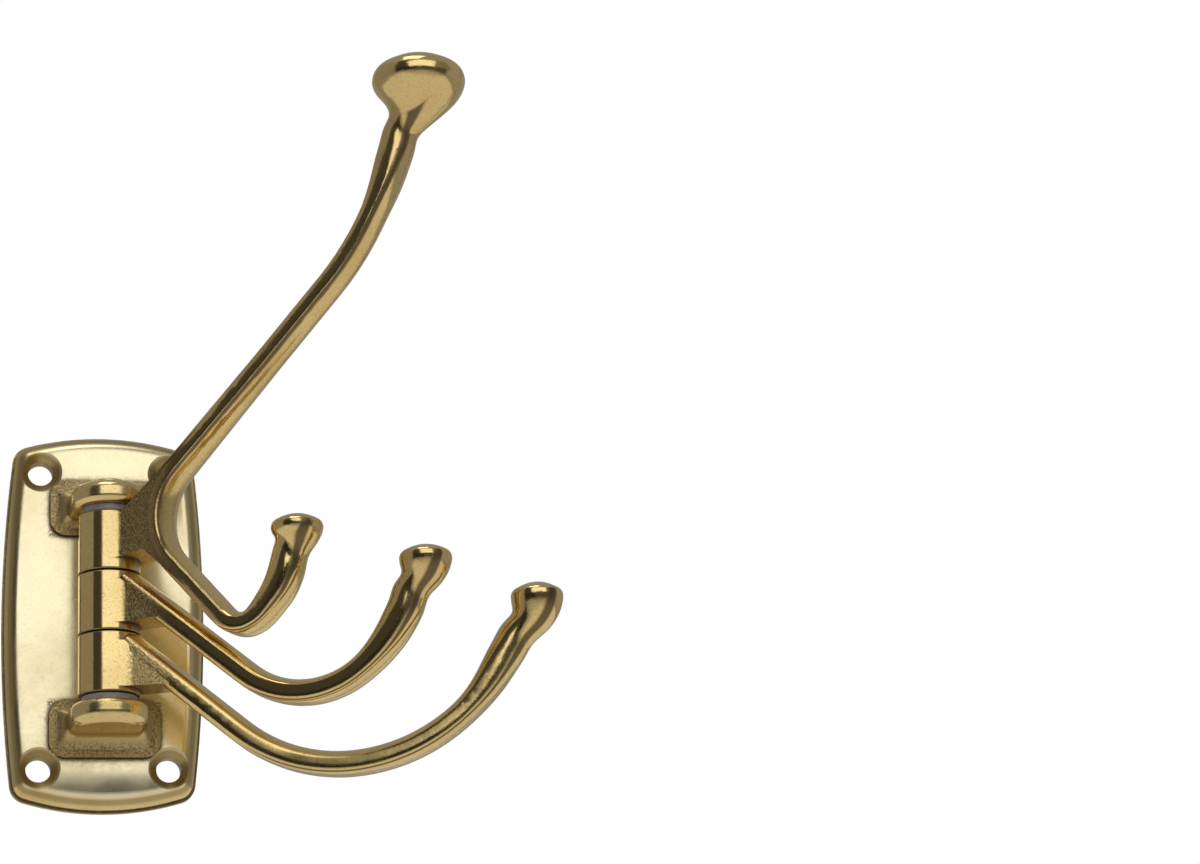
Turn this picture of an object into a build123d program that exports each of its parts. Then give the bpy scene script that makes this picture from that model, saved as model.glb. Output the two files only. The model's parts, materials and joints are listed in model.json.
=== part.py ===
from build123d import *
from math import acos, asin, atan2, cos, degrees, hypot, pi, radians, sin, sqrt, tan
import os

# Swivelling coat hook: three arms on one upright pivot, held between two lugs of a back plate.
# Millimetres. The wall is the plane y = 0, the room is towards -Y, +Z is up.
# The origin is the middle of the plate's back face.

# Back plate
plate_half_width = 22.5         # at mid height
plate_half_height = 43.3        # at the middle of the top and bottom edges
plate_corner_x = 20.1           # where the side arcs end
plate_corner_z = 39.9
plate_corner_round = 4.2
plate_thick = 5.5
plate_edge = 1.3                # flat edge that stands on the wall
plate_step = 0.5                # the rolled part starts this far in from the edge
plate_rim_run = 3.6             # radius of the rolled rim

# Mounting holes
hole_half_x = 14.3
hole_half_z = 33.95
hole_r = 2.8
countersink_r = 4.7
countersink_angle = 90

# Pivot and knuckles
pivot_out = 16.5                # pivot axis in front of the wall
knuckle_r = 6.8
knuckle_h = 13.5
knuckle_gap = 0.2
knuckle_round = 0.4
washer_r = 6.1
washer_thick = 1.5
washer_gap = 0.1
washer_round = 0.2
shank_r = 2.5
lug_clearance = 0.05            # shank to lug, on the radius
swing_clearance = 0.1           # shank to knuckle or washer, on the radius

# Lugs
lug_nose_r = 8.4
lug_thick = 5.2
lug_round = 2.4
lug_inner_round = 1.6
lug_root_flare = 3.4            # concave blend into the pad
lug_outer_flare = 3.6
lug_inner_flare = 2.2
pad_half_width = 12.2           # low pad that each lug grows from
pad_low = 18.9
pad_high = 31.7
pad_proud = 1.0
pad_corner = 3.6
pad_margin = 0.1                # the flares end this far inside the pad
lug_sink = 0.1                  # the flares end this deep in the pad

# Pivot screw
head_r = 3.9
head_thick = 1.2
head_round = 0.5
slot_wide = 0.9
slot_deep = 0.8
slot_turn = 25
shank_into_lower_lug = 3.4
drill_spare = 0.3               # the blind hole runs on past the shank

# Arms
arm_root_half = 4.8             # half thickness of an arm where its taper starts
arm_end_half = 3.6
taper_start = 8.0
taper_end = 40.0
web_inset = 0.06                # web side lies this much below the side of the bar
bar_crown = 1.3                 # how far the front of a bar stands proud in the middle
crown_power = 1.5               # under 2 gives the front a soft crest
bar_square = 5.0                # power of the bar's section, 2 is an ellipse
round_square = 2.0
root_flare = 6.0                # concave blend between knuckle and web
ring_points = 36
ring_step = 3.2                 # distance between a bar's sections
neck_r = 4.0
knob_blend = 22                 # a bar turns round over this length before its knob
rim_inset = 0.05                # keeps the dome's foot inside the flare below it

# Knobs: rise and sideways shift from neck to rim, rim radius, dome height, where its sections lie
big_knob = dict(rise=11.4, shift=4.6, rim_r=10.35, dome=5.9, shoulder_r=3.5, shares=(0, 0.2, 0.4, 0.6, 0.8, 0.92, 1))
short_knob = dict(rise=5.0, shift=1.4, rim_r=5.7, dome=2.8, shoulder_r=1.5, shares=(0, 0.3, 0.6, 0.85, 1))
middle_knob = dict(rise=6.8, shift=3.3, rim_r=5.7, dome=2.7, shoulder_r=1.5, shares=(0, 0.3, 0.6, 0.85, 1))
lower_knob = dict(rise=8.2, shift=4.6, rim_r=5.7, dome=2.9, shoulder_r=1.5, shares=(0, 0.3, 0.6, 0.85, 1))

# Each arm in its own plane: x outwards from the pivot, y up from the lower end of its knuckle.
# A bar starts at a point with a heading, then moves: (length, 0) straight or (radius, turn).
web_below_top = 0.6             # a web starts this far below the upper end of its knuckle
top_swing = 55
top_bar = 5.0
top_start = (73.6, 91.45)
top_heading = 251.7
top_moves = (
    (9.9, 0),
    (60.0, -27.44),
    (52.1, 0),
    (15.5, 86.94),
    (18.05, 0),
    (5.5, 93.8),
    (3.25, 0),
    (17.0, 28.0),
    (4.0, 0),
)
top_web = (
    (0, knuckle_h - web_below_top),
    (5.67, knuckle_h - web_below_top),
    (31.2, 35.6),
    (31.0, 33.9),
    (18.1, 21.45),
    (14.45, 15.3),
    (13.85, 8.1),
    (17.65, 0.2),
    (24.2, -7.3),
    (21.9, -6.9),
    (11.0, 3.55),
    (0, 1.7),
)

middle_swing = 60
middle_bar = 5.4
middle_start = (4.9, 11.39)
middle_heading = -40.14
middle_moves = ((36.95, 0), (20.8, 75.14), (32.36, 33.0), (1.6, 0))
middle_web = ((0, 11.35), (4.9, 11.35), (15.0, 2.85), (14.0, 2.0), (0, 1.5))

lower_swing = 68
lower_bar = 5.4
lower_start = (4.9, 11.39)
lower_heading = -40.63
lower_moves = ((32.6, 0), (35.96, 43.57), (39.24, 53.84), (9.1, 0))
lower_web = ((0, 11.35), (4.9, 11.35), (16.0, 1.85), (14.9, 1.05), (0, 1.2))

# Stack of the three knuckles and two washers, centred on z = 0
stack_half = 1.5 * knuckle_h + knuckle_gap
washer_low = stack_half + washer_gap
lug_in = washer_low + washer_thick
lug_out = lug_in + lug_thick
bore_r = shank_r + swing_clearance


def plate_outline(inset):
    """Plate seen from the room: four long arcs with rounded corners."""
    wide = plate_half_width - inset
    high = plate_half_height - inset
    x = plate_corner_x - inset
    z = plate_corner_z - inset
    with BuildSketch(Plane.XZ, mode=Mode.PRIVATE) as outline:
        with BuildLine():
            ThreePointArc((x, -z), (wide, 0), (x, z))
            ThreePointArc((x, z), (0, high), (-x, z))
            ThreePointArc((-x, z), (-wide, 0), (-x, -z))
            ThreePointArc((-x, -z), (0, -high), (x, -z))
        make_face()
        fillet(outline.vertices(), plate_corner_round - inset)
    return outline.sketch


def pad_outline(inset):
    """Outline of both lugs' pads, seen from the room."""
    with BuildSketch(Plane.XZ, mode=Mode.PRIVATE) as outline:
        for side in (1, -1):
            with Locations((0, side * (pad_low + pad_high) / 2)):
                RectangleRounded(
                    2 * (pad_half_width - inset), pad_high - pad_low - 2 * inset, pad_corner - inset
                )
    return outline.sketch


def upper_lug():
    """Half-round lug: its plan profile cut to its side profile, then its edges rounded."""
    face_out = plate_thick + pad_proud - lug_sink
    with BuildPart(mode=Mode.PRIVATE) as lug:
        with BuildSketch() as plan:
            with Locations((0, -pivot_out)):
                Circle(lug_nose_r)
            with Locations((0, -pivot_out)):
                Rectangle(2 * lug_nose_r, pivot_out - face_out, align=(Align.CENTER, Align.MIN))
            with Locations((0, -face_out)):
                Rectangle(4 * lug_nose_r, face_out / 2, align=(Align.CENTER, Align.MIN))
            fillet(
                plan.vertices().filter_by(
                    lambda v: abs(abs(v.X) - lug_nose_r) < 0.01 and abs(v.Y + face_out) < 0.01
                ),
                lug_root_flare,
            )
        extrude(amount=2 * plate_half_height)
        with BuildSketch(Plane.YZ) as side:
            with BuildLine():
                Polyline(
                    (-pivot_out - 2 * lug_nose_r, lug_in),
                    (-face_out, lug_in),
                    (-face_out, lug_in - lug_root_flare),
                    (-face_out / 2, lug_in - lug_root_flare),
                    (-face_out / 2, lug_out + 2 * lug_outer_flare),
                    (-face_out, lug_out + 2 * lug_outer_flare),
                    (-face_out, lug_out),
                    (-pivot_out - 2 * lug_nose_r, lug_out),
                    close=True,
                )
            make_face()
            corners = side.vertices().filter_by(lambda v: abs(v.X + face_out) < 0.01)
            fillet(corners.filter_by(lambda v: abs(v.Y - lug_in) < 0.01), lug_inner_flare)
            corners = side.vertices().filter_by(lambda v: abs(v.X + face_out) < 0.01)
            fillet(corners.filter_by(lambda v: abs(v.Y - lug_out) < 0.01), lug_outer_flare)
        extrude(amount=4 * lug_nose_r, both=True, mode=Mode.INTERSECT)
        nose = lug.edges().filter_by(lambda e: e.center().Y < -face_out - lug_root_flare)
        nose = nose.filter_by(lambda e: abs(e.center().X) > 1 or e.geom_type == GeomType.CIRCLE)
        fillet(nose.filter_by(lambda e: abs(e.center().Z - lug_out) < 0.01), lug_round)
        fillet(nose.filter_by(lambda e: abs(e.center().Z - lug_in) < 0.01), lug_inner_round)
        extrude(
            pad_outline(pad_margin), amount=4 * pivot_out, dir=(0, -1, 0), mode=Mode.INTERSECT
        )
    return lug.part


with BuildPart() as back_plate:
    extrude(plate_outline(0), amount=plate_edge, dir=(0, -1, 0))
    extrude(plate_outline(plate_step), amount=plate_thick, dir=(0, -1, 0))
    front = back_plate.faces().sort_by(Axis.Y)[0]
    fillet(front.edges(), plate_rim_run)
    extrude(pad_outline(0), amount=plate_thick + pad_proud, dir=(0, -1, 0))
    lug = upper_lug()
    add(lug)
    add(mirror(lug, about=Plane.XY, mode=Mode.PRIVATE))
    with Locations(Plane(origin=(0, -plate_thick, 0), x_dir=(1, 0, 0), z_dir=(0, -1, 0))):
        with GridLocations(2 * hole_half_x, 2 * hole_half_z, 2, 2):
            CounterSinkHole(hole_r, countersink_r, plate_thick, countersink_angle)
    with BuildSketch(Plane.XY.offset(-lug_in - shank_into_lower_lug - drill_spare)):
        with Locations((0, -pivot_out)):
            Circle(shank_r + lug_clearance)
    extrude(amount=4 * plate_half_height, mode=Mode.SUBTRACT)
back_plate.part.label = "back_plate"

with BuildPart() as pivot_screw:
    with BuildSketch(Plane.XY.offset(lug_out)):
        with Locations((0, -pivot_out)):
            Circle(head_r)
    extrude(amount=head_thick)
    fillet(pivot_screw.edges().sort_by(Axis.Z)[-1], head_round)
    with BuildSketch(Plane.XY.offset(lug_out)):
        with Locations((0, -pivot_out)):
            Circle(shank_r)
    extrude(amount=-lug_out - lug_in - shank_into_lower_lug)
    with BuildSketch(Plane.XY.offset(lug_out + head_thick)):
        with Locations((0, -pivot_out)):
            Rectangle(3 * head_r, slot_wide, rotation=slot_turn)
    extrude(amount=-slot_deep, mode=Mode.SUBTRACT)
pivot_screw.part.label = "pivot_screw"


def washer(name, low):
    """Plain ring on the pivot, its edges just broken."""
    with BuildPart() as made:
        with BuildSketch(Plane.XY.offset(low)):
            with Locations((0, -pivot_out)):
                Circle(washer_r)
                Circle(bore_r, mode=Mode.SUBTRACT)
        extrude(amount=washer_thick)
        outer = made.edges().filter_by(GeomType.CIRCLE).filter_by(lambda e: e.radius > bore_r + 0.1)
        fillet(outer, washer_round)
    made.part.label = name
    return made


upper_washer = washer("upper_washer", washer_low)
lower_washer = washer("lower_washer", -washer_low - washer_thick)


def turned(length, heading):
    """Step of a length in a heading, in degrees, in an arm's own plane."""
    return Vector(length * cos(radians(heading)), length * sin(radians(heading)))


def bar_path(start, heading, moves):
    """Centre line of a bar. Each move is (length, 0) for a straight or (radius, turn)."""
    with BuildLine() as path:
        at = Vector(*start)
        for size, turn in moves:
            if turn == 0:
                piece = Line(at, at + turned(size, heading))
            else:
                piece = JernArc(at, turned(1, heading), size, turn)
            at = piece @ 1
            heading += turn
    return path.wires()[0]


def ring(at, heading, half_in, half_thick, square, crown):
    """One cross-section of a bar: rounded box or circle by its power, crowned in front."""
    place = Plane(origin=(at.X, at.Y, 0), x_dir=(0, 0, 1), z_dir=turned(1, heading))
    points = []
    for step in range(ring_points):
        angle = 2 * pi * step / ring_points
        c, s = cos(angle), sin(angle)
        across = half_thick * abs(s) ** (2 / square) * (1 if s >= 0 else -1)
        back = half_in * abs(c) ** (2 / square) * (1 if c >= 0 else -1)
        if back < 0:
            back *= 1 - crown / half_in * abs(across / half_thick) ** crown_power
        points.append((across, back))
    with BuildSketch(place) as section:
        with BuildLine():
            Spline(*points, periodic=True)
        make_face()
    return section.sketch.face()


def ease(x):
    """Smooth step from 0 to 1."""
    x = min(max(x, 0), 1)
    return x * x * (3 - 2 * x)


def knob_rings(neck, lean, knob, backwards):
    """Sections that flare from a bar's neck to the knob's upright rim."""
    rows = []
    for share in knob["shares"]:
        at = neck + Vector(
            knob["shift"] * (1 - (1 - share) ** 2.5), knob["rise"] * share
        )
        radius = neck_r + (knob["rim_r"] - neck_r) * (1 - cos(pi * share)) / 2
        heading = lean + (90 - lean) * ease(share)
        rows.append((at, heading + (180 if backwards else 0), radius, radius, round_square, 0))
    return rows[::-1] if backwards else rows


def knob_top(neck, knob):
    """Dome on a knob's rim: a tight shoulder running into a flat cap."""
    middle = neck + Vector(knob["shift"], knob["rise"])
    rim = knob["rim_r"] - rim_inset
    with BuildPart(mode=Mode.PRIVATE) as dome:
        with BuildSketch():
            with BuildLine():
                foot = Line((middle.X, middle.Y - rim_inset), (middle.X + rim - 3 * rim_inset, middle.Y - rim_inset))
                lip = Line(foot @ 1, (middle.X + rim, middle.Y))
                shoulder = JernArc(lip @ 1, (0, 1), knob["shoulder_r"], 60)
                cap = Spline(
                    shoulder @ 1, (middle.X, middle.Y + knob["dome"]), tangents=(shoulder % 1, (-1, 0))
                )
                Line(cap @ 1, foot @ 0)
            make_face()
        revolve(axis=Axis((middle.X, middle.Y, 0), (0, 1, 0)))
    return dome.part


def arm_half(reach):
    """Half thickness of an arm at a distance from the pivot: thick at the root, then even."""
    slope = (arm_root_half - arm_end_half) / (taper_end - taper_start)
    return max(arm_end_half, arm_root_half - slope * (reach - taper_start))


def root(web):
    """Knuckle with its web: a plan profile cut to the web's side profile, then the barrel."""
    reach = max(point[0] for point in web)
    near, far = arm_half(0) - web_inset, arm_half(reach) - web_inset
    with BuildPart(mode=Mode.PRIVATE) as block:
        with BuildSketch(Plane.XZ) as plan:
            Circle(knuckle_r)
            with BuildLine():
                Polyline((0, near), (reach, far), (reach, -far), (0, -near), close=True)
            make_face()
            fillet(plan.vertices().filter_by(lambda v: 1 < v.X < reach - 1), root_flare)
        extrude(amount=4 * knuckle_h, both=True)
        with BuildSketch():
            with BuildLine():
                Polyline(*web, close=True)
            make_face()
        extrude(amount=2 * knuckle_r, both=True, mode=Mode.INTERSECT)
        with BuildPart(mode=Mode.PRIVATE) as barrel:
            with BuildSketch(Plane.XZ):
                Circle(knuckle_r)
            extrude(amount=-knuckle_h)
            fillet(barrel.edges().filter_by(GeomType.CIRCLE), knuckle_round)
        add(barrel.part)
    return block.part


def limb(path, knobs, bar_width):
    """Bar along a path, turning round where it nears a knob, with its knobs on the ends."""
    start_knob, end_knob = knobs
    rows = []
    if start_knob:
        rows += knob_rings(path @ 0, degrees(atan2(-(path % 0).Y, -(path % 0).X)), start_knob, True)
    count = int(path.length / ring_step)
    for step in range(count + 1):
        share = step / count
        run = share * path.length
        to_knob = path.length - run if end_knob else 1e6
        if start_knob:
            to_knob = min(to_knob, run)
        if step in (0, count) and to_knob < 1e-6:
            continue
        mix = ease(to_knob / knob_blend)
        way = path % share
        rows.append(
            (
                path @ share,
                degrees(atan2(way.Y, way.X)),
                neck_r + (bar_width / 2 - neck_r) * mix,
                neck_r + (arm_half((path @ share).X) - neck_r) * mix,
                round_square + (bar_square - round_square) * mix,
                bar_crown * mix,
            )
        )
    if end_knob:
        rows += knob_rings(path @ 1, degrees(atan2((path % 1).Y, (path % 1).X)), end_knob, False)
    with BuildPart(mode=Mode.PRIVATE) as bar:
        loft([ring(*row) for row in rows])
        for knob, end in ((start_knob, path @ 0), (end_knob, path @ 1)):
            if knob:
                add(knob_top(end, knob))
    return bar.part


def arm(web, path, knobs, bar_width):
    """One casting in its own plane, with the bore for the pivot through its knuckle."""
    with BuildPart(mode=Mode.PRIVATE) as casting:
        add(root(web))
        add(limb(path, knobs, bar_width))
        with BuildSketch(Plane.XZ):
            Circle(bore_r)
        extrude(amount=4 * knuckle_h, both=True, mode=Mode.SUBTRACT)
    return casting.part


def swung(swing, low):
    """Plane of an arm, swung from straight out of the wall towards +X, its knuckle at a height."""
    outwards = (sin(radians(swing)), -cos(radians(swing)), 0)
    across = (-cos(radians(swing)), -sin(radians(swing)), 0)
    return Plane(origin=(0, -pivot_out, low), x_dir=outwards, z_dir=across)


top_low = knuckle_h / 2 + knuckle_gap
middle_low = -knuckle_h / 2
lower_low = -1.5 * knuckle_h - knuckle_gap

with BuildPart() as top_arm:
    path = bar_path(top_start, top_heading, top_moves)
    add(swung(top_swing, top_low) * arm(top_web, path, (big_knob, short_knob), top_bar))
top_arm.part.label = "top_arm"

with BuildPart() as middle_arm:
    path = bar_path(middle_start, middle_heading, middle_moves)
    add(swung(middle_swing, middle_low) * arm(middle_web, path, (None, middle_knob), middle_bar))
middle_arm.part.label = "middle_arm"

with BuildPart() as lower_arm:
    path = bar_path(lower_start, lower_heading, lower_moves)
    add(swung(lower_swing, lower_low) * arm(lower_web, path, (None, lower_knob), lower_bar))
lower_arm.part.label = "lower_arm"

os.makedirs("parts", exist_ok=True)
for made in (back_plate, pivot_screw, upper_washer, lower_washer, top_arm, middle_arm, lower_arm):
    export_step(made.part, f"parts/{made.part.label}.step")
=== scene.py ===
"""Swivelling coat hook: brass finishes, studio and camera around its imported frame."""

import json
import logging
import math
from dataclasses import dataclass
from enum import Enum
from functools import reduce

import bpy
from mathutils import Matrix, Vector


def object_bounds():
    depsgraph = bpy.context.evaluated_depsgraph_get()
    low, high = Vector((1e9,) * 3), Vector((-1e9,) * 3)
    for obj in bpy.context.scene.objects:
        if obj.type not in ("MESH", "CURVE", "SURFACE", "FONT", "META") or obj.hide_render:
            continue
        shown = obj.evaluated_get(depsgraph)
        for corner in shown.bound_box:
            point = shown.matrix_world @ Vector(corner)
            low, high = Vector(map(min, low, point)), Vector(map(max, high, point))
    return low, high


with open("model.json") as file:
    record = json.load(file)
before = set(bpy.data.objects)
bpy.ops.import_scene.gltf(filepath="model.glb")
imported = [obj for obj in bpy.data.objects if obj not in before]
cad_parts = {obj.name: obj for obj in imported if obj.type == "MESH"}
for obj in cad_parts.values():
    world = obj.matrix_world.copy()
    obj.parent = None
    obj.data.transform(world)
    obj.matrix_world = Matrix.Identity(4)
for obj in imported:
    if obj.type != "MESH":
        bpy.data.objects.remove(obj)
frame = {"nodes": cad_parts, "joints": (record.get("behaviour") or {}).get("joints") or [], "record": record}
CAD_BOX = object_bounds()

LOG = logging.getLogger("coat_hook")

MM = 0.001
PHOTO_WIDTH_PX = 1200
ALONG_WALL_DEG = 90.0

FLOAT = "NodeSocketFloat"
VECTOR = "NodeSocketVector"
COLOUR = "NodeSocketColor"
MIX_COLOUR_A = 6
MIX_COLOUR_B = 7
MIX_COLOUR_RESULT = 2

Colour = tuple[float, float, float]
Point = tuple[float, float, float]
Socket = bpy.types.NodeSocket
Tree = bpy.types.NodeTree


class Piece(Enum):
    """The hook's CAD nodes."""

    PLATE = "back_plate"
    SCREW = "pivot_screw"
    UPPER_WASHER = "upper_washer"
    LOWER_WASHER = "lower_washer"
    TOP_ARM = "top_arm"
    MIDDLE_ARM = "middle_arm"
    LOWER_ARM = "lower_arm"


class Swing(Enum):
    """The hinge that each arm turns on."""

    TOP_ARM = "top_swing"
    MIDDLE_ARM = "middle_swing"
    LOWER_ARM = "lower_swing"


def rgba(colour: Colour) -> tuple[float, float, float, float]:
    """A colour with full alpha."""
    return (*colour, 1.0)


def towards(azimuth: float, elevation: float) -> Vector:
    """Direction from the hook, with azimuth 0 straight out of the wall.

    Args:
        azimuth: degrees to the right.
        elevation: degrees up.

    Returns:
        A vector of length 1.
    """
    turn, rise = math.radians(azimuth), math.radians(elevation)
    return Vector((math.sin(turn) * math.cos(rise), -math.cos(turn) * math.cos(rise), math.sin(rise)))


# Node helpers


class Wiring:
    """A node tree with short calls that add, place and join its nodes."""

    COLUMN_STEP = 220
    ROW_STEP = -40
    ROWS = 9

    def __init__(self, tree: Tree) -> None:
        """Wraps a tree.

        Args:
            tree: the material's, world's or group's node tree.
        """
        self.tree = tree
        self.column = 0

    def node(self, kind: str, **values: object) -> bpy.types.Node:
        """Adds a node.

        Args:
            kind: Blender's name of the node type.
            values: attributes to set on it.

        Returns:
            The new node.
        """
        made = self.tree.nodes.new(kind)
        row = len(self.tree.nodes) % self.ROWS
        made.location = (self.COLUMN_STEP * self.column, self.ROW_STEP * row)
        self.column += 1
        for name, value in values.items():
            setattr(made, name, value)
        return made

    def feed(self, socket: Socket, value: object) -> None:
        """Joins an output to a socket, or sets the socket's own value.

        Args:
            socket: the input.
            value: an output socket, number, vector or colour.
        """
        if isinstance(value, Socket):
            self.tree.links.new(value, socket)
        else:
            socket.default_value = value

    def math(self, work: str, a: object, b: object = 0.0, c: object = 0.0) -> Socket:
        """One sum on numbers.

        Args:
            work: Blender's name of the operation.
            a: first input, an output socket or a number.
            b: second input.
            c: third input.

        Returns:
            The result's socket.
        """
        made = self.node("ShaderNodeMath", operation=work)
        for socket, value in zip(made.inputs, (a, b, c)):
            self.feed(socket, value)
        return made.outputs[0]

    def times(self, *factors: object) -> Socket:
        """Product of two or more numbers."""
        return reduce(lambda a, b: self.math("MULTIPLY", a, b), factors)

    def total(self, *parts: object) -> Socket:
        """Sum of two or more numbers."""
        return reduce(lambda a, b: self.math("ADD", a, b), parts)

    def most(self, *values: object) -> Socket:
        """Greatest of two or more numbers."""
        return reduce(lambda a, b: self.math("MAXIMUM", a, b), values)

    def radius(self, a: object, b: object) -> Socket:
        """Distance from an axis.

        Args:
            a: distance from it in one direction.
            b: distance from it square to that.

        Returns:
            The distance's socket.
        """
        return self.math("SQRT", self.total(self.times(a, a), self.times(b, b)))

    def vector(self, work: str, a: object, b: object = (0.0, 0.0, 0.0)) -> bpy.types.Node:
        """One sum on vectors.

        Args:
            work: Blender's name of the operation.
            a: first input.
            b: second input.

        Returns:
            The node, whose Vector or Value output holds the result.
        """
        made = self.node("ShaderNodeVectorMath", operation=work)
        self.feed(made.inputs[0], a)
        self.feed(made.inputs[1], b)
        return made

    def dot(self, a: object, b: object) -> Socket:
        """How far one vector runs along another."""
        return self.vector("DOT_PRODUCT", a, b).outputs["Value"]

    def split(self, place: Socket) -> bpy.types.Node:
        """Splits a vector into its parts.

        Args:
            place: the vector.

        Returns:
            The node with outputs X, Y and Z.
        """
        made = self.node("ShaderNodeSeparateXYZ")
        self.feed(made.inputs[0], place)
        return made

    def span(self, value: object, low: object, high: object) -> Socket:
        """Maps low..high to 0..1 with a soft step and clamped ends.

        Args:
            value: the number to map.
            low: input that gives 0, which may be the greater one.
            high: input that gives 1.

        Returns:
            The result's socket.
        """
        made = self.node("ShaderNodeMapRange", interpolation_type="SMOOTHSTEP")
        for socket, number in zip(made.inputs, (value, low, high)):
            self.feed(socket, number)
        return made.outputs[0]

    def mix(self, share: object, a: object, b: object) -> Socket:
        """Mixes two colours.

        Args:
            share: how much of b.
            a: first colour.
            b: second colour.

        Returns:
            The mixed colour's socket.
        """
        made = self.node("ShaderNodeMix", data_type="RGBA")
        self.feed(made.inputs[0], share)
        self.feed(made.inputs[MIX_COLOUR_A], a)
        self.feed(made.inputs[MIX_COLOUR_B], b)
        return made.outputs[MIX_COLOUR_RESULT]

    def noise(self, place: object, scale: object, detail: float, rough: float = 0.5) -> Socket:
        """Noise value at a place.

        Args:
            place: the coordinates.
            scale: how many features a metre.
            detail: octaves.
            rough: strength of the finer octaves.

        Returns:
            The value's socket, from 0 to 1.
        """
        made = self.node("ShaderNodeTexNoise")
        self.feed(made.inputs["Vector"], place)
        self.feed(made.inputs["Scale"], scale)
        made.inputs["Detail"].default_value = detail
        made.inputs["Roughness"].default_value = rough
        return made.outputs["Fac"]

    def bump(self, shader: bpy.types.Node, height: Socket) -> None:
        """Feeds a height in metres to a shader's normal.

        Args:
            shader: the Principled node.
            height: the height.
        """
        made = self.node("ShaderNodeBump")
        made.inputs["Strength"].default_value = 1.0
        made.inputs["Distance"].default_value = 1.0
        self.feed(made.inputs["Height"], height)
        self.feed(shader.inputs["Normal"], made.outputs["Normal"])

    def group(self, group: Tree, values: dict[str, object]) -> bpy.types.Node:
        """Places a node group with its own values.

        Args:
            group: the node group.
            values: input name to number, colour or output socket.

        Returns:
            The group node.
        """
        made = self.node("ShaderNodeGroup", node_tree=group)
        for name, value in values.items():
            self.feed(made.inputs[name], value)
        return made


@dataclass(frozen=True)
class Fade:
    """Where a mask is empty and where it is full."""

    none: float
    full: float

    def over(self, w: Wiring, value: Socket) -> Socket:
        """The mask over a value that runs through both places."""
        return w.span(value, self.none, self.full)


@dataclass(frozen=True)
class OpenGroup:
    """A shader node group while its effect is wired."""

    tree: Tree
    w: Wiring
    given: bpy.types.Node
    out: bpy.types.Node

    @staticmethod
    def start(name: str, inputs: dict[str, tuple[str, object]], outputs: dict[str, str]) -> "OpenGroup":
        """Starts a group.

        Args:
            name: the group's name.
            inputs: socket name to (socket type, default or None).
            outputs: socket name to socket type.

        Returns:
            The group with its sockets.
        """
        tree = bpy.data.node_groups.new(name, "ShaderNodeTree")
        for label, (kind, default) in inputs.items():
            socket = tree.interface.new_socket(label, in_out="INPUT", socket_type=kind)
            if default is not None:
                socket.default_value = default
        for label, kind in outputs.items():
            tree.interface.new_socket(label, in_out="OUTPUT", socket_type=kind)
        w = Wiring(tree)
        return OpenGroup(tree, w, w.node("NodeGroupInput"), w.node("NodeGroupOutput"))

    def take(self, name: str) -> Socket:
        """The socket of one of the group's inputs."""
        return self.given.outputs[name]

    def give(self, name: str, value: Socket) -> None:
        """Joins a result to one of the group's outputs."""
        self.w.feed(self.out.inputs[name], value)


# Effects that several finishes share


def cast_skin_group() -> Tree:
    """Surface of a polished casting: faint waves, fine grain, and pits where a mask asks for them.

    Returns:
        The group, with outputs Height (in metres) and Pits (a mask).
    """
    group = OpenGroup.start(
        "CastSkin",
        {
            "Place": (VECTOR, None),
            "Grain Scale": (FLOAT, 3200.0),
            "Grain Depth": (FLOAT, 4e-6),
            "Wave Scale": (FLOAT, 90.0),
            "Wave Depth": (FLOAT, 6e-5),
            "Ripple Scale": (FLOAT, 420.0),
            "Ripple Depth": (FLOAT, 1.1e-5),
            "Pit Scale": (FLOAT, 2000.0),
            "Pit Depth": (FLOAT, 2.5e-5),
            "Pit Start": (FLOAT, 0.56),
            "Pit End": (FLOAT, 0.44),
            "Pit Mask": (FLOAT, 0.0),
        },
        {"Height": FLOAT, "Pits": FLOAT},
    )
    w, take = group.w, group.take
    place = take("Place")
    grain = w.times(w.noise(place, take("Grain Scale"), detail=4.0, rough=0.6), take("Grain Depth"))
    wave = w.times(w.noise(place, take("Wave Scale"), detail=1.0), take("Wave Depth"))
    ripple = w.times(w.noise(place, take("Ripple Scale"), detail=2.0), take("Ripple Depth"))
    rough_field = w.noise(place, take("Pit Scale"), detail=5.0, rough=0.62)
    pits = w.times(w.span(rough_field, take("Pit Start"), take("Pit End")), take("Pit Mask"))
    sunk = w.times(pits, take("Pit Depth"))
    group.give("Height", w.math("SUBTRACT", w.total(grain, wave, ripple), sunk))
    group.give("Pits", pits)
    return group.tree


def patina_group() -> Tree:
    """Cloudy change of colour and polish over lacquered metal, darker where a mask asks for it.

    Returns:
        The group, with outputs Colour and Roughness.
    """
    group = OpenGroup.start(
        "Patina",
        {
            "Place": (VECTOR, None),
            "Clean": (COLOUR, None),
            "Dull": (COLOUR, None),
            "Dark": (COLOUR, None),
            "Dark Mask": (FLOAT, 0.0),
            "Dark Haze": (FLOAT, 0.3),
            "Cloud Scale": (FLOAT, 45.0),
            "Cloud Start": (FLOAT, 0.38),
            "Cloud End": (FLOAT, 0.68),
            "Cloud Share": (FLOAT, 0.7),
            "Polish": (FLOAT, 0.15),
            "Haze": (FLOAT, 0.12),
        },
        {"Colour": COLOUR, "Roughness": FLOAT},
    )
    w, take = group.w, group.take
    field = w.noise(take("Place"), take("Cloud Scale"), detail=4.0, rough=0.6)
    cloud = w.span(field, take("Cloud Start"), take("Cloud End"))
    body = w.mix(w.times(cloud, take("Cloud Share")), take("Clean"), take("Dull"))
    smear = w.math("MULTIPLY_ADD", cloud, take("Haze"), take("Polish"))
    group.give("Colour", w.mix(take("Dark Mask"), body, take("Dark")))
    group.give("Roughness", w.math("MULTIPLY_ADD", take("Dark Mask"), take("Dark Haze"), smear))
    return group.tree


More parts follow.
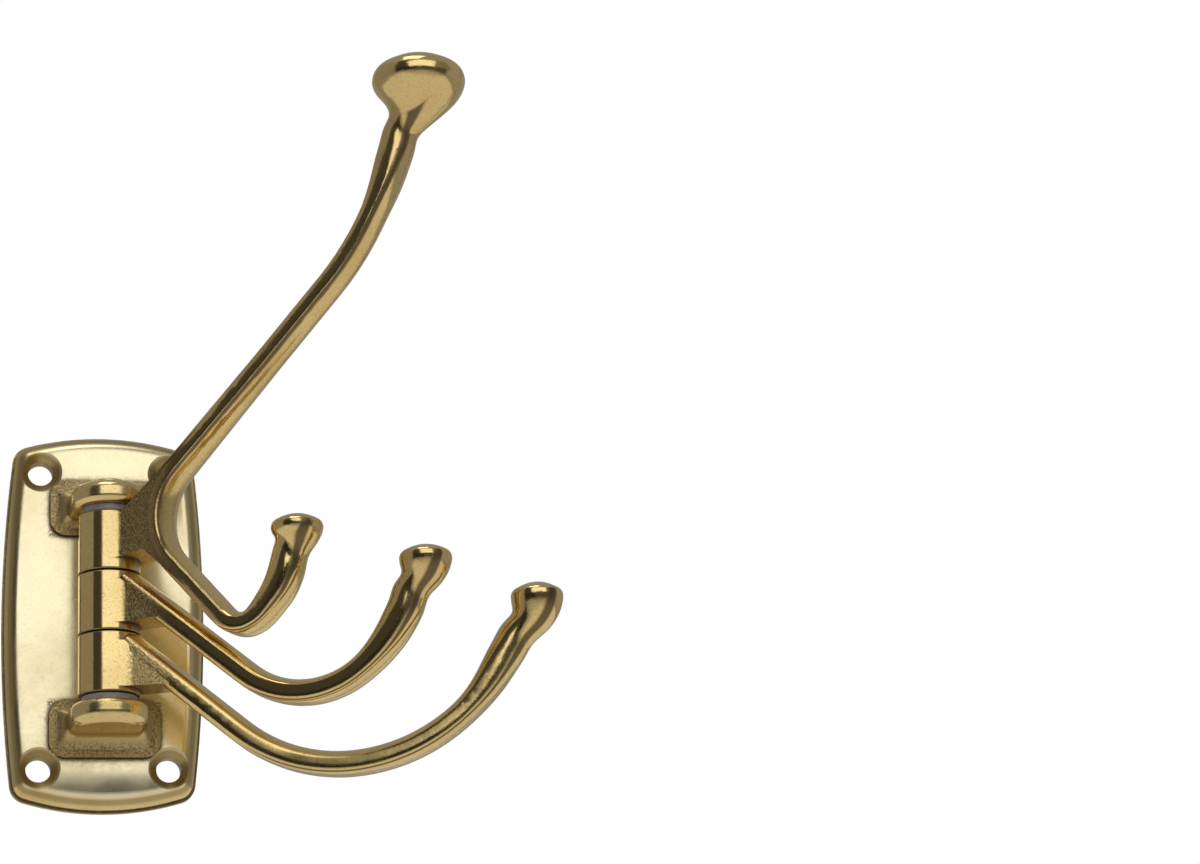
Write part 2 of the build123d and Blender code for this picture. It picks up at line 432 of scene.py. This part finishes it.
def corner_shade_group() -> Tree:
    """Painted shade that darkens a piece's own corners and narrow gaps, from ambient occlusion broken up by
    noise.

    Returns:
        The group, with one output, a mask of painted shade.
    """
    group = OpenGroup.start(
        "CornerShade",
        {
            "Place": (VECTOR, None),
            "Reach": (FLOAT, 4.5e-3),
            "Start": (FLOAT, 0.94),
            "End": (FLOAT, 0.60),
            "Break Scale": (FLOAT, 900.0),
            "Break Depth": (FLOAT, 0.24),
        },
        {"Painted Shade": FLOAT},
    )
    w, take = group.w, group.take
    open_sky = w.node("ShaderNodeAmbientOcclusion", samples=8, only_local=True)
    w.feed(open_sky.inputs["Distance"], take("Reach"))
    breaks = w.noise(take("Place"), take("Break Scale"), detail=4.0, rough=0.6)
    speckle = w.times(w.math("SUBTRACT", breaks, 0.5), take("Break Depth"))
    shut = w.total(open_sky.outputs["AO"], speckle)
    group.give("Painted Shade", w.span(shut, take("Start"), take("End")))
    return group.tree


def turned_lines_group() -> Tree:
    """Fine rings that a cutter leaves round an axis.

    Returns:
        The group, with outputs Height (in metres) and Lines (a mask).
    """
    group = OpenGroup.start(
        "TurnedLines",
        {"Radius": (FLOAT, 0.0), "Pitch": (FLOAT, 2e-4), "Depth": (FLOAT, 1e-5)},
        {"Height": FLOAT, "Lines": FLOAT},
    )
    w, take = group.w, group.take
    turns = w.math("DIVIDE", take("Radius"), take("Pitch"))
    ring = w.math("MULTIPLY_ADD", w.math("SINE", w.times(turns, 2 * math.pi)), 0.5, 0.5)
    group.give("Lines", ring)
    group.give("Height", w.times(ring, take("Depth")))
    return group.tree


@dataclass(frozen=True)
class Effects:
    """The shared node groups."""

    cast_skin: Tree
    patina: Tree
    turned_lines: Tree
    # Painted shade in corners and narrow gaps, from ambient occlusion.
    corner_shade: Tree

    @staticmethod
    def build() -> "Effects":
        """Builds each group once.

        Returns:
            The groups.
        """
        return Effects(
            cast_skin=cast_skin_group(),
            patina=patina_group(),
            turned_lines=turned_lines_group(),
            corner_shade=corner_shade_group(),
        )


# Finishes


@dataclass(frozen=True)
class OpenMaterial:
    """A material while its nodes are wired."""

    material: bpy.types.Material
    w: Wiring
    shader: bpy.types.Node
    place: Socket

    @staticmethod
    def start(name: str) -> "OpenMaterial":
        """Starts a material that is laid out in the object's own coordinates.

        Args:
            name: the material's name.

        Returns:
            The material with its Principled node.
        """
        material = bpy.data.materials.new(name)
        material.use_nodes = True
        w = Wiring(material.node_tree)
        shader = material.node_tree.nodes["Principled BSDF"]
        return OpenMaterial(material, w, shader, w.node("ShaderNodeTexCoord").outputs["Object"])


@dataclass(frozen=True)
class CastBrass:
    """Polished and lacquered cast brass."""

    clean: Colour = (0.87, 0.68, 0.31)
    dull: Colour = (0.73, 0.53, 0.21)
    # Dark colour of pits, specks and tooled places, and also of painted shade and painted dark reflections.
    dark: Colour = (0.13, 0.09, 0.045)
    # Paler colours for the painted highlight on the plate's flat face.
    highlight_clean: Colour = (0.96, 0.86, 0.57)
    highlight_dull: Colour = (0.93, 0.79, 0.45)
    polish: float = 0.14
    haze: float = 0.08
    # Weight of the painted shade in corners and gaps.
    crevice_shade_weight: float = 0.95
    pit_shade: float = 0.8
    # Weight of tooled places together with painted shade and painted dark reflections.
    tool_and_painted_dark_weight: float = 0.32
    speck_shade: float = 0.38
    speck_scale: float = 2100.0
    specks: Fade = Fade(none=0.48, full=0.74)
    # How much the painted highlight clears the specks.
    specks_off_in_highlight: float = 0.75
    coat: float = 0.06
    coat_roughness: float = 0.08

    def finish(
        self,
        opened: OpenMaterial,
        effects: Effects,
        recess: object,
        extra_height: Socket,
        tool_and_painted_dark: object,
        highlight_mask: object = 0.0,
    ) -> None:
        """Joins skin and patina to the shader.

        Args:
            opened: the material.
            effects: the shared groups.
            recess: mask of the places that polishing doesn't reach.
            extra_height: height in metres added to the skin.
            tool_and_painted_dark: mask of machined places and of painted shade and painted dark reflections,
                which are darker and duller.
            highlight_mask: mask of faces painted paler, a painted highlight.
        """
        w, shader, place = opened.w, opened.shader, opened.place
        shader.inputs["Metallic"].default_value = 1.0
        shader.inputs["Coat Weight"].default_value = self.coat
        shader.inputs["Coat Roughness"].default_value = self.coat_roughness
        skin = w.group(effects.cast_skin, {"Place": place, "Pit Mask": recess})
        # Painted shade: darker in the piece's own corners and gaps, from ambient occlusion.
        crevice_shade = w.group(effects.corner_shade, {"Place": place}).outputs["Painted Shade"]
        speckled = self.specks.over(w, w.noise(place, self.speck_scale, detail=5.0, rough=0.68))
        kept = w.math("MULTIPLY_ADD", highlight_mask, -self.specks_off_in_highlight * self.speck_shade, self.speck_shade)
        # Darkening from real pits, specks and tooling, together with painted shade and painted dark
        # reflections.
        shade = w.most(
            w.times(skin.outputs["Pits"], self.pit_shade),
            w.times(speckled, kept),
            w.times(tool_and_painted_dark, self.tool_and_painted_dark_weight),
            w.times(crevice_shade, self.crevice_shade_weight),
        )
        # The clean and dull colours turn paler where the painted highlight lies.
        patina = w.group(
            effects.patina,
            {
                "Place": place,
                "Clean": w.mix(highlight_mask, rgba(self.clean), rgba(self.highlight_clean)),
                "Dull": w.mix(highlight_mask, rgba(self.dull), rgba(self.highlight_dull)),
                "Dark": rgba(self.dark),
                "Dark Mask": w.math("MINIMUM", shade, 1.0),
                "Polish": self.polish,
                "Haze": self.haze,
            },
        )
        w.feed(shader.inputs["Base Color"], patina.outputs["Colour"])
        w.feed(shader.inputs["Roughness"], patina.outputs["Roughness"])
        w.bump(shader, w.total(skin.outputs["Height"], extra_height))


@dataclass(frozen=True)
class GreyPlastic:
    """Plain grey plastic of the washers."""

    colour: Colour = (0.26, 0.24, 0.238)
    worn: Colour = (0.35, 0.33, 0.325)
    roughness: float = 0.55
    wear_polish: float = -0.12
    wear_scale: float = 500.0
    wear: Fade = Fade(none=0.4, full=0.65)
    grain_scale: float = 2600.0
    grain_depth: float = 1.5e-5

    def material(self) -> bpy.types.Material:
        """Builds the plastic.

        Returns:
            The finished material.
        """
        opened = OpenMaterial.start("washer_grey_plastic")
        w, shader, place = opened.w, opened.shader, opened.place
        wear = self.wear.over(w, w.noise(place, self.wear_scale, detail=4.0))
        w.feed(shader.inputs["Base Color"], w.mix(wear, rgba(self.colour), rgba(self.worn)))
        w.feed(shader.inputs["Roughness"], w.math("MULTIPLY_ADD", wear, self.wear_polish, self.roughness))
        w.bump(shader, w.times(w.noise(place, self.grain_scale, detail=3.0), self.grain_depth))
        return opened.material


def set_material(node: bpy.types.Object, material: bpy.types.Material) -> None:
    """Puts one material on all of a CAD node's slots.

    Args:
        node: the CAD object.
        material: its material.
    """
    if not node.material_slots:
        node.data.materials.append(material)
    for slot in node.material_slots:
        slot.material = material


# The hook's sub-assemblies


@dataclass
class PlateAssembly:
    """The back plate: face painted paler as a highlight, tooled countersinks, pitted pads and lugs, painted
    shade at the lug feet, a painted dark reflection along the rim, raw back.

    The fades across the pads run in x and z, and the others in height above the flat face.
    """

    effects: Effects
    brass: CastBrass
    hole_half_x: float
    hole_half_z: float
    countersink_r: float = 4.75 * MM
    cutter_pitch: float = 0.18 * MM
    cutter_depth: float = 0.006 * MM
    face_y: float = -5.5 * MM
    face_slack: float = 0.05 * MM
    pad_side: Fade = Fade(none=13.1 * MM, full=11.9 * MM)
    pad_near_end: Fade = Fade(none=18.0 * MM, full=19.2 * MM)
    pad_far_end: Fade = Fade(none=33.1 * MM, full=31.4 * MM)
    pits_up_lug: Fade = Fade(none=3.5 * MM, full=1.0 * MM)
    pits_lowest: float = -0.3 * MM
    # Painted shade at the foot of each lug; the strength also darkens the painted dark reflection on the rim.
    shade_at_foot: Fade = Fade(none=0.3 * MM, full=0.6 * MM)
    shade_up_lug: Fade = Fade(none=4.5 * MM, full=1.5 * MM)
    painted_dark_strength: float = 1.5
    # Painted dark reflection along the rolled rim below the face.
    rim_dark_reflection_inner: Fade = Fade(none=-0.25 * MM, full=-0.6 * MM)
    rim_dark_reflection_outer: Fade = Fade(none=-1.9 * MM, full=-1.0 * MM)
    # Where the flat face is painted paler as a highlight.
    field_edge: Fade = Fade(none=-0.6 * MM, full=-0.1 * MM)
    roll_start_z: float = 34.0 * MM
    roll_strength: float = -10.0
    raw_depth: float = 0.15 * MM
    raw_pits: float = 0.8

    def dress(self, node: bpy.types.Object) -> None:
        """Gives the plate its material.

        Args:
            node: the back plate's CAD object.
        """
        opened = OpenMaterial.start("plate_cast_brass")
        w = opened.w
        parts = w.split(opened.place)
        x = w.math("ABSOLUTE", parts.outputs["X"])
        y = parts.outputs["Y"]
        z = w.math("ABSOLUTE", parts.outputs["Z"])
        above = w.math("SUBTRACT", self.face_y, y)
        raw = w.math("GREATER_THAN", y, -self.raw_depth)

        from_hole = w.radius(w.math("SUBTRACT", x, self.hole_half_x), w.math("SUBTRACT", z, self.hole_half_z))
        tooled = w.math("LESS_THAN", from_hole, self.countersink_r)
        lines = w.group(
            self.effects.turned_lines,
            {"Radius": from_hole, "Pitch": self.cutter_pitch, "Depth": self.cutter_depth},
        )
        past = w.most(w.math("SUBTRACT", z, self.roll_start_z), 0.0)
        height = w.total(w.times(lines.outputs["Height"], tooled), w.times(past, past, self.roll_strength))

        # Painted shade where the lugs rise from the face.
        lug_foot_shade = w.times(self.shade_at_foot.over(w, above), self.shade_up_lug.over(w, above))
        # Painted dark reflection along the rolled rim.
        rim = w.times(self.rim_dark_reflection_inner.over(w, above), self.rim_dark_reflection_outer.over(w, above))
        # Painted shade and painted dark reflection together.
        painted_darkening = w.times(w.most(lug_foot_shade, rim), self.painted_dark_strength)
        # Painted highlight: the flat face, painted paler.
        field = w.times(self.field_edge.over(w, above), w.math("LESS_THAN", above, self.face_slack))
        recess = w.most(self.pad_pits(w, x, z, above), w.times(raw, self.raw_pits))
        self.brass.finish(opened, self.effects, recess, height, w.most(tooled, raw, painted_darkening), field)
        set_material(node, opened.material)

    def pad_pits(self, w: Wiring, x: Socket, z: Socket, above: Socket) -> Socket:
        """Mask of the pitted pads and the feet of the lugs.

        Args:
            w: the material's wiring.
            x: distance from the plate's upright middle line.
            z: distance from its level middle line.
            above: height above its flat face.

        Returns:
            The mask's socket.
        """
        return w.times(
            self.pad_side.over(w, x),
            self.pad_near_end.over(w, z),
            self.pad_far_end.over(w, z),
            self.pits_up_lug.over(w, above),
            w.math("GREATER_THAN", above, self.pits_lowest),
        )


@dataclass
class PivotAssembly:
    """Pivot screw and washers."""

    effects: Effects
    brass: CastBrass
    axis_y: float
    cutter_pitch: float = 0.22 * MM
    cutter_depth: float = 0.008 * MM
    pits: float = 0.15
    tooled: float = 0.25

    def dress_screw(self, node: bpy.types.Object) -> None:
        """Gives the screw turned brass.

        Args:
            node: the screw's CAD object.
        """
        opened = OpenMaterial.start("screw_turned_brass")
        w = opened.w
        parts = w.split(opened.place)
        radius = w.radius(parts.outputs["X"], w.math("SUBTRACT", parts.outputs["Y"], self.axis_y))
        lines = w.group(
            self.effects.turned_lines,
            {"Radius": radius, "Pitch": self.cutter_pitch, "Depth": self.cutter_depth},
        )
        self.brass.finish(opened, self.effects, self.pits, lines.outputs["Height"], self.tooled)
        set_material(node, opened.material)

    def dress_washers(self, nodes: list[bpy.types.Object]) -> None:
        """Gives both washers their plastic.

        Args:
            nodes: the washers' CAD objects.
        """
        plastic = GreyPlastic().material()
        for node in nodes:
            set_material(node, plastic)


@dataclass
class SwingArm:
    """One cast arm: pitted web, painted shade in the knuckle gaps, a painted dark reflection line along the
    bar edges and a fine parting line.

    The web and bar fades run in distance from the pivot's axis, the seam and side fades in
    distance from the arm's middle plane, and the facing fades in the normal's lean.
    """

    effects: Effects
    brass: CastBrass
    name: str
    swing: float
    axis_y: float
    knuckle_z: float
    knuckle_half: float = 6.75 * MM
    knuckle_r: float = 6.8 * MM
    web_start: Fade = Fade(none=6.5 * MM, full=8.5 * MM)
    web_end: Fade = Fade(none=20.0 * MM, full=11.0 * MM)
    web_pits: float = 0.55
    bar_start: Fade = Fade(none=10.0 * MM, full=12.0 * MM)
    bar_side: Fade = Fade(none=5.0 * MM, full=4.5 * MM)
    seam_line: Fade = Fade(none=0.22 * MM, full=0.088 * MM)
    seam_height: float = 0.05 * MM
    seam_rough: Fade = Fade(none=1.1 * MM, full=0.3 * MM)
    seam_pits: float = 0.35
    # Painted shade in the gaps at the knuckle's two ends.
    gap_inside: Fade = Fade(none=0.42 * MM, full=0.168 * MM)
    gap_outside: Fade = Fade(none=1.2 * MM, full=0.4 * MM)
    gap_slack: float = 0.1 * MM
    gap_shade: float = 2.6
    # Painted dark reflection line along the bar edges, placed by the normal's lean.
    edge_facing_side: Fade = Fade(none=0.48, full=0.60)
    edge_facing_front: Fade = Fade(none=0.88, full=0.78)
    fore_facing: Fade = Fade(none=0.10, full=0.40)
    edge_dark_reflection: float = 2.8

    def dress(self, node: bpy.types.Object) -> None:
        """Gives the arm its material.

        Args:
            node: the arm's CAD object.
        """
        opened = OpenMaterial.start(f"{self.name}_cast_brass")
        w, place = opened.w, opened.place
        across = (math.cos(self.swing), math.sin(self.swing), 0.0)
        from_axis = w.vector("SUBTRACT", place, (0.0, self.axis_y, 0.0)).outputs["Vector"]
        aside = w.math("ABSOLUTE", w.dot(from_axis, across))
        flat = w.vector("MULTIPLY", from_axis, (1.0, 1.0, 0.0)).outputs["Vector"]
        reach = w.vector("LENGTH", flat).outputs["Value"]

        web = w.times(self.web_start.over(w, reach), self.web_end.over(w, reach), self.web_pits)
        bar = self.bar_start.over(w, reach)
        recess = w.most(web, w.times(self.seam_rough.over(w, aside), bar, self.seam_pits))

        normal = self.own_normal(w)
        outward_and_down = (math.sin(self.swing), -math.cos(self.swing), -1.0)
        fore = self.fore_facing.over(w, w.dot(normal, outward_and_down))
        sideways = w.math("ABSOLUTE", w.dot(normal, across))
        # Painted dark reflection: a line where the bar edge turns from its side to its front.
        edge = w.times(
            self.edge_facing_side.over(w, sideways),
            self.edge_facing_front.over(w, sideways),
            fore,
            self.bar_side.over(w, aside),
            bar,
        )
        # Painted shade in the knuckle gaps and the painted dark reflection along the bar edges.
        painted_darkening = w.most(w.times(self.knuckle_gap(w, reach), self.gap_shade), w.times(edge, self.edge_dark_reflection))
        seam = w.times(self.seam_line.over(w, aside), bar, fore, self.seam_height)
        self.brass.finish(opened, self.effects, recess, seam, painted_darkening)
        set_material(node, opened.material)

    def own_normal(self, w: Wiring) -> Socket:
        """The surface normal in the arm's own coordinates, which turn with it.

        Args:
            w: the material's wiring.

        Returns:
            The normal's socket.
        """
        turned = w.node(
            "ShaderNodeVectorTransform", vector_type="NORMAL", convert_from="WORLD", convert_to="OBJECT"
        )
        w.feed(turned.inputs[0], w.node("ShaderNodeNewGeometry").outputs["Normal"])
        return turned.outputs[0]

    def knuckle_gap(self, w: Wiring, reach: Socket) -> Socket:
        """Mask of the knuckle's two ends, where shade is painted into the gap between it and its neighbours.

        Args:
            w: the material's wiring.
            reach: distance from the pivot's axis.

        Returns:
            The mask's socket.
        """
        z = w.split(w.node("ShaderNodeTexCoord").outputs["Object"]).outputs["Z"]
        from_middle = w.math("ABSOLUTE", w.math("SUBTRACT", z, self.knuckle_z))
        from_end = w.math("SUBTRACT", self.knuckle_half, from_middle)
        return w.times(
            self.gap_inside.over(w, from_end),
            self.gap_outside.over(w, w.math("SUBTRACT", reach, self.knuckle_r)),
            w.math("GREATER_THAN", from_end, -self.gap_slack),
        )


# Studio


def reflection_sheet(name: str, points: list[Point], faces: list[tuple[int, ...]], level: float) -> None:
    """Adds a glowing sheet that only shows in reflections.

    Args:
        name: the sheet's name.
        points: its corners.
        faces: its faces, as indices of the corners.
        level: its brightness, where 1 is white.
    """
    warm_white: Colour = (1.0, 0.97, 0.92)
    mesh = bpy.data.meshes.new(name)
    mesh.from_pydata(points, [], faces)
    sheet = bpy.data.objects.new(name, mesh)
    bpy.context.scene.collection.objects.link(sheet)
    material = bpy.data.materials.new(name)
    material.use_nodes = True
    w = Wiring(material.node_tree)
    glow = w.node("ShaderNodeEmission")
    glow.inputs["Color"].default_value = rgba(warm_white)
    glow.inputs["Strength"].default_value = level
    w.feed(material.node_tree.nodes["Material Output"].inputs["Surface"], glow.outputs[0])
    mesh.materials.append(material)
    sheet.visible_camera = False
    sheet.visible_diffuse = False
    sheet.visible_shadow = False
    sheet.visible_transmission = False


@dataclass(frozen=True)
class Card:
    """A curved studio card that only shows in reflections, from one azimuth to another."""

    name: str
    start: float
    end: float
    low: float
    high: float
    level: float
    radius: float = 2.4
    panels: int = 24

    def build(self) -> None:
        """Makes the card as part of an upright cylinder round the hook."""
        points = []
        for step in range(self.panels + 1):
            edge = self.radius * towards(self.start + (self.end - self.start) * step / self.panels, 0.0)
            points += [(edge.x, edge.y, self.low), (edge.x, edge.y, self.high)]
        faces = [(2 * i, 2 * i + 2, 2 * i + 3, 2 * i + 1) for i in range(self.panels)]
        reflection_sheet(self.name, points, faces, self.level)


@dataclass(frozen=True)
class FloorSheet:
    """A flat sheet on the floor that only shows in reflections."""

    name: str
    left: float
    right: float
    front: float
    back: float
    level: float
    lift: float = 0.01

    def build(self, floor_z: float) -> None:
        """Makes the sheet.

        Args:
            floor_z: the floor's height.
        """
        z = floor_z + self.lift
        corners = [
            (self.left, self.front, z),
            (self.right, self.front, z),
            (self.right, self.back, z),
            (self.left, self.back, z),
        ]
        reflection_sheet(self.name, corners, [(0, 1, 2, 3)], self.level)


@dataclass(frozen=True)
class Softbox:
    """A rectangular studio lamp aimed at the hook."""

    name: str
    azimuth: float
    elevation: float
    distance: float
    width: float
    height: float
    watts: float

    def build(self, target: Vector) -> None:
        """Makes the lamp.

        Args:
            target: the point that it faces.
        """
        lamp = bpy.data.lights.new(self.name, "AREA")
        lamp.shape = "RECTANGLE"
        lamp.size = self.width
        lamp.size_y = self.height
        lamp.energy = self.watts
        holder = bpy.data.objects.new(self.name, lamp)
        bpy.context.scene.collection.objects.link(holder)
        away = towards(self.azimuth, self.elevation)
        holder.location = target + self.distance * away
        holder.rotation_euler = away.to_track_quat("Z", "Y").to_euler()


CARDS = (
    Card("card_left_tan", start=-150, end=-66, low=-0.4, high=2.6, level=0.26),
    Card("card_left_dark", start=-66, end=-34, low=-0.4, high=2.6, level=0.05),
    Card("card_low_left", start=-74, end=-16, low=-1.3, high=0.3, level=0.02),
    Card("card_low_front", start=-16, end=60, low=-0.75, high=0.30, level=0.07),
    Card("card_right", start=26, end=70, low=0.24, high=2.2, level=0.20),
)
FLOOR_GLOW = FloorSheet("floor_glow", left=-1.4, right=1.6, front=-1.0, back=1.4, level=0.62)
SOFTBOXES = (
    Softbox("key_softbox", azimuth=-1, elevation=26, distance=1.5, width=1.75, height=1.1, watts=5.15),
    Softbox("top_softbox", azimuth=-30, elevation=72, distance=1.4, width=0.7, height=0.7, watts=2.4),
)


@dataclass(frozen=True)
class Studio:
    """Pale floor, white surround, cards and lamps."""

    floor_drop: float = 0.45
    floor_half: float = 3.0
    floor_colour: Colour = (0.82, 0.82, 0.81)
    floor_roughness: float = 0.8
    floor_lift: float = 0.55
    surround: Colour = (1.0, 1.0, 1.0)
    seen_light: float = 1.0
    plain_light: float = 0.30

    def build(self, target: Vector) -> None:
        """Sets up everything that lights the hook.

        Args:
            target: the middle of the hook.
        """
        self.world()
        self.floor()
        for card in CARDS:
            card.build()
        FLOOR_GLOW.build(-self.floor_drop)
        for lamp in SOFTBOXES:
            lamp.build(target)

    def world(self) -> None:
        """White surround for what is seen, a plain level for what is lit."""
        world = bpy.data.worlds.new("surround")
        bpy.context.scene.world = world
        world.use_nodes = True
        w = Wiring(world.node_tree)
        lit = world.node_tree.nodes["Background"]
        seen = w.node("ShaderNodeBackground")
        for background, strength in ((lit, self.plain_light), (seen, self.seen_light)):
            background.inputs["Color"].default_value = rgba(self.surround)
            background.inputs["Strength"].default_value = strength
        ray = w.node("ShaderNodeLightPath")
        pick = w.node("ShaderNodeMixShader")
        w.feed(pick.inputs[0], w.most(ray.outputs["Is Camera Ray"], ray.outputs["Is Transmission Ray"]))
        w.feed(pick.inputs[1], lit.outputs[0])
        w.feed(pick.inputs[2], seen.outputs[0])
        w.feed(world.node_tree.nodes["World Output"].inputs["Surface"], pick.outputs[0])

    def floor(self) -> None:
        """Plain pale floor well below the hook, lifted a little for the camera."""
        half = self.floor_half
        corners = [(-half, -half, 0), (half, -half, 0), (half, half, 0), (-half, half, 0)]
        mesh = bpy.data.meshes.new("floor")
        mesh.from_pydata(corners, [], [(0, 1, 2, 3)])
        floor = bpy.data.objects.new("floor", mesh)
        floor.location.z = -self.floor_drop
        bpy.context.scene.collection.objects.link(floor)
        paint = bpy.data.materials.new("floor_paint")
        paint.use_nodes = True
        shader = paint.node_tree.nodes["Principled BSDF"]
        shader.inputs["Base Color"].default_value = rgba(self.floor_colour)
        shader.inputs["Roughness"].default_value = self.floor_roughness
        shader.inputs["Emission Color"].default_value = rgba(self.floor_colour)
        w = Wiring(paint.node_tree)
        seen = w.node("ShaderNodeLightPath").outputs["Is Camera Ray"]
        w.feed(shader.inputs["Emission Strength"], w.times(seen, self.floor_lift))
        mesh.materials.append(paint)


@dataclass(frozen=True)
class PhotoCamera:
    """The photograph's view: low, a little to the left, looking up to the right."""

    aim: Vector
    azimuth: float = -5.0
    elevation: float = -14.0
    distance: float = 0.7068
    heading: float = 14.531
    rise: float = 17.266
    roll: float = -2.763
    focal_px: float = 3100.0
    sensor_mm: float = 36.0
    nearest: float = 0.01

    def build(self) -> None:
        """Makes the scene's camera."""
        forward = towards(180.0 - self.heading, self.rise)
        right = forward.cross(Vector((0, 0, 1))).normalized()
        up = right.cross(forward)
        roll = math.radians(self.roll)
        right, up = (
            math.cos(roll) * right + math.sin(roll) * up,
            math.cos(roll) * up - math.sin(roll) * right,
        )
        data = bpy.data.cameras.new("photo_camera")
        data.sensor_width = self.sensor_mm
        data.lens = self.focal_px * self.sensor_mm / PHOTO_WIDTH_PX
        data.clip_start = self.nearest
        camera = bpy.data.objects.new("photo_camera", data)
        stand = Matrix((right, up, -forward)).transposed().to_4x4()
        stand.translation = self.aim + self.distance * towards(self.azimuth, self.elevation)
        camera.matrix_world = stand
        bpy.context.scene.collection.objects.link(camera)
        bpy.context.scene.camera = camera


def hinge(swing: Swing) -> dict:
    """The frame's record of an arm's hinge."""
    return next(joint for joint in frame["joints"] if joint["name"] == swing.value)


def rest_swing(swing: Swing) -> float:
    """How far an arm stands from straight out of the wall at rest, in radians.

    Args:
        swing: the arm's hinge, whose range ends with the arm flat along the wall.

    Returns:
        The angle towards +X.
    """
    return math.radians(ALONG_WALL_DEG - hinge(swing)["range_deg"][1])


def main() -> None:
    """Builds finishes, studio and camera, and reports each piece."""
    logging.basicConfig(level=logging.INFO, format="%(message)s")
    nodes = frame["nodes"]
    holes = next(m for m in frame["record"]["mounts"] if m["name"] == "screw_holes")["dims"]
    hole_half_x = holes["spacing_x_mm"] / 2 * MM
    hole_half_z = holes["spacing_y_mm"] / 2 * MM
    axis_y = hinge(Swing.TOP_ARM)["pos_m"][1]
    effects = Effects.build()
    plate_brass = CastBrass(polish=0.18, haze=0.10)
    arm_brass = CastBrass(clean=(0.90, 0.68, 0.30), dull=(0.77, 0.56, 0.23), polish=0.09)

    plate = PlateAssembly(effects, plate_brass, hole_half_x, hole_half_z)
    plate.dress(nodes[Piece.PLATE.value])
    pivot = PivotAssembly(effects, plate_brass, axis_y)
    pivot.dress_screw(nodes[Piece.SCREW.value])
    pivot.dress_washers([nodes[Piece.UPPER_WASHER.value], nodes[Piece.LOWER_WASHER.value]])
    for piece, swing in (
        (Piece.TOP_ARM, Swing.TOP_ARM),
        (Piece.MIDDLE_ARM, Swing.MIDDLE_ARM),
        (Piece.LOWER_ARM, Swing.LOWER_ARM),
    ):
        knuckle_z = hinge(swing)["pos_m"][2]
        arm = SwingArm(effects, arm_brass, piece.value, rest_swing(swing), axis_y, knuckle_z)
        arm.dress(nodes[piece.value])
    for name in nodes:
        LOG.info("dressed %s", name)

    low, high = (Vector(corner) for corner in CAD_BOX)
    Studio().build((low + high) / 2)
    PhotoCamera(Vector((0, -1.5 * MM, 0))).build()
    bpy.context.scene.view_settings.view_transform = "Standard"


if __name__ == "__main__":
    main()
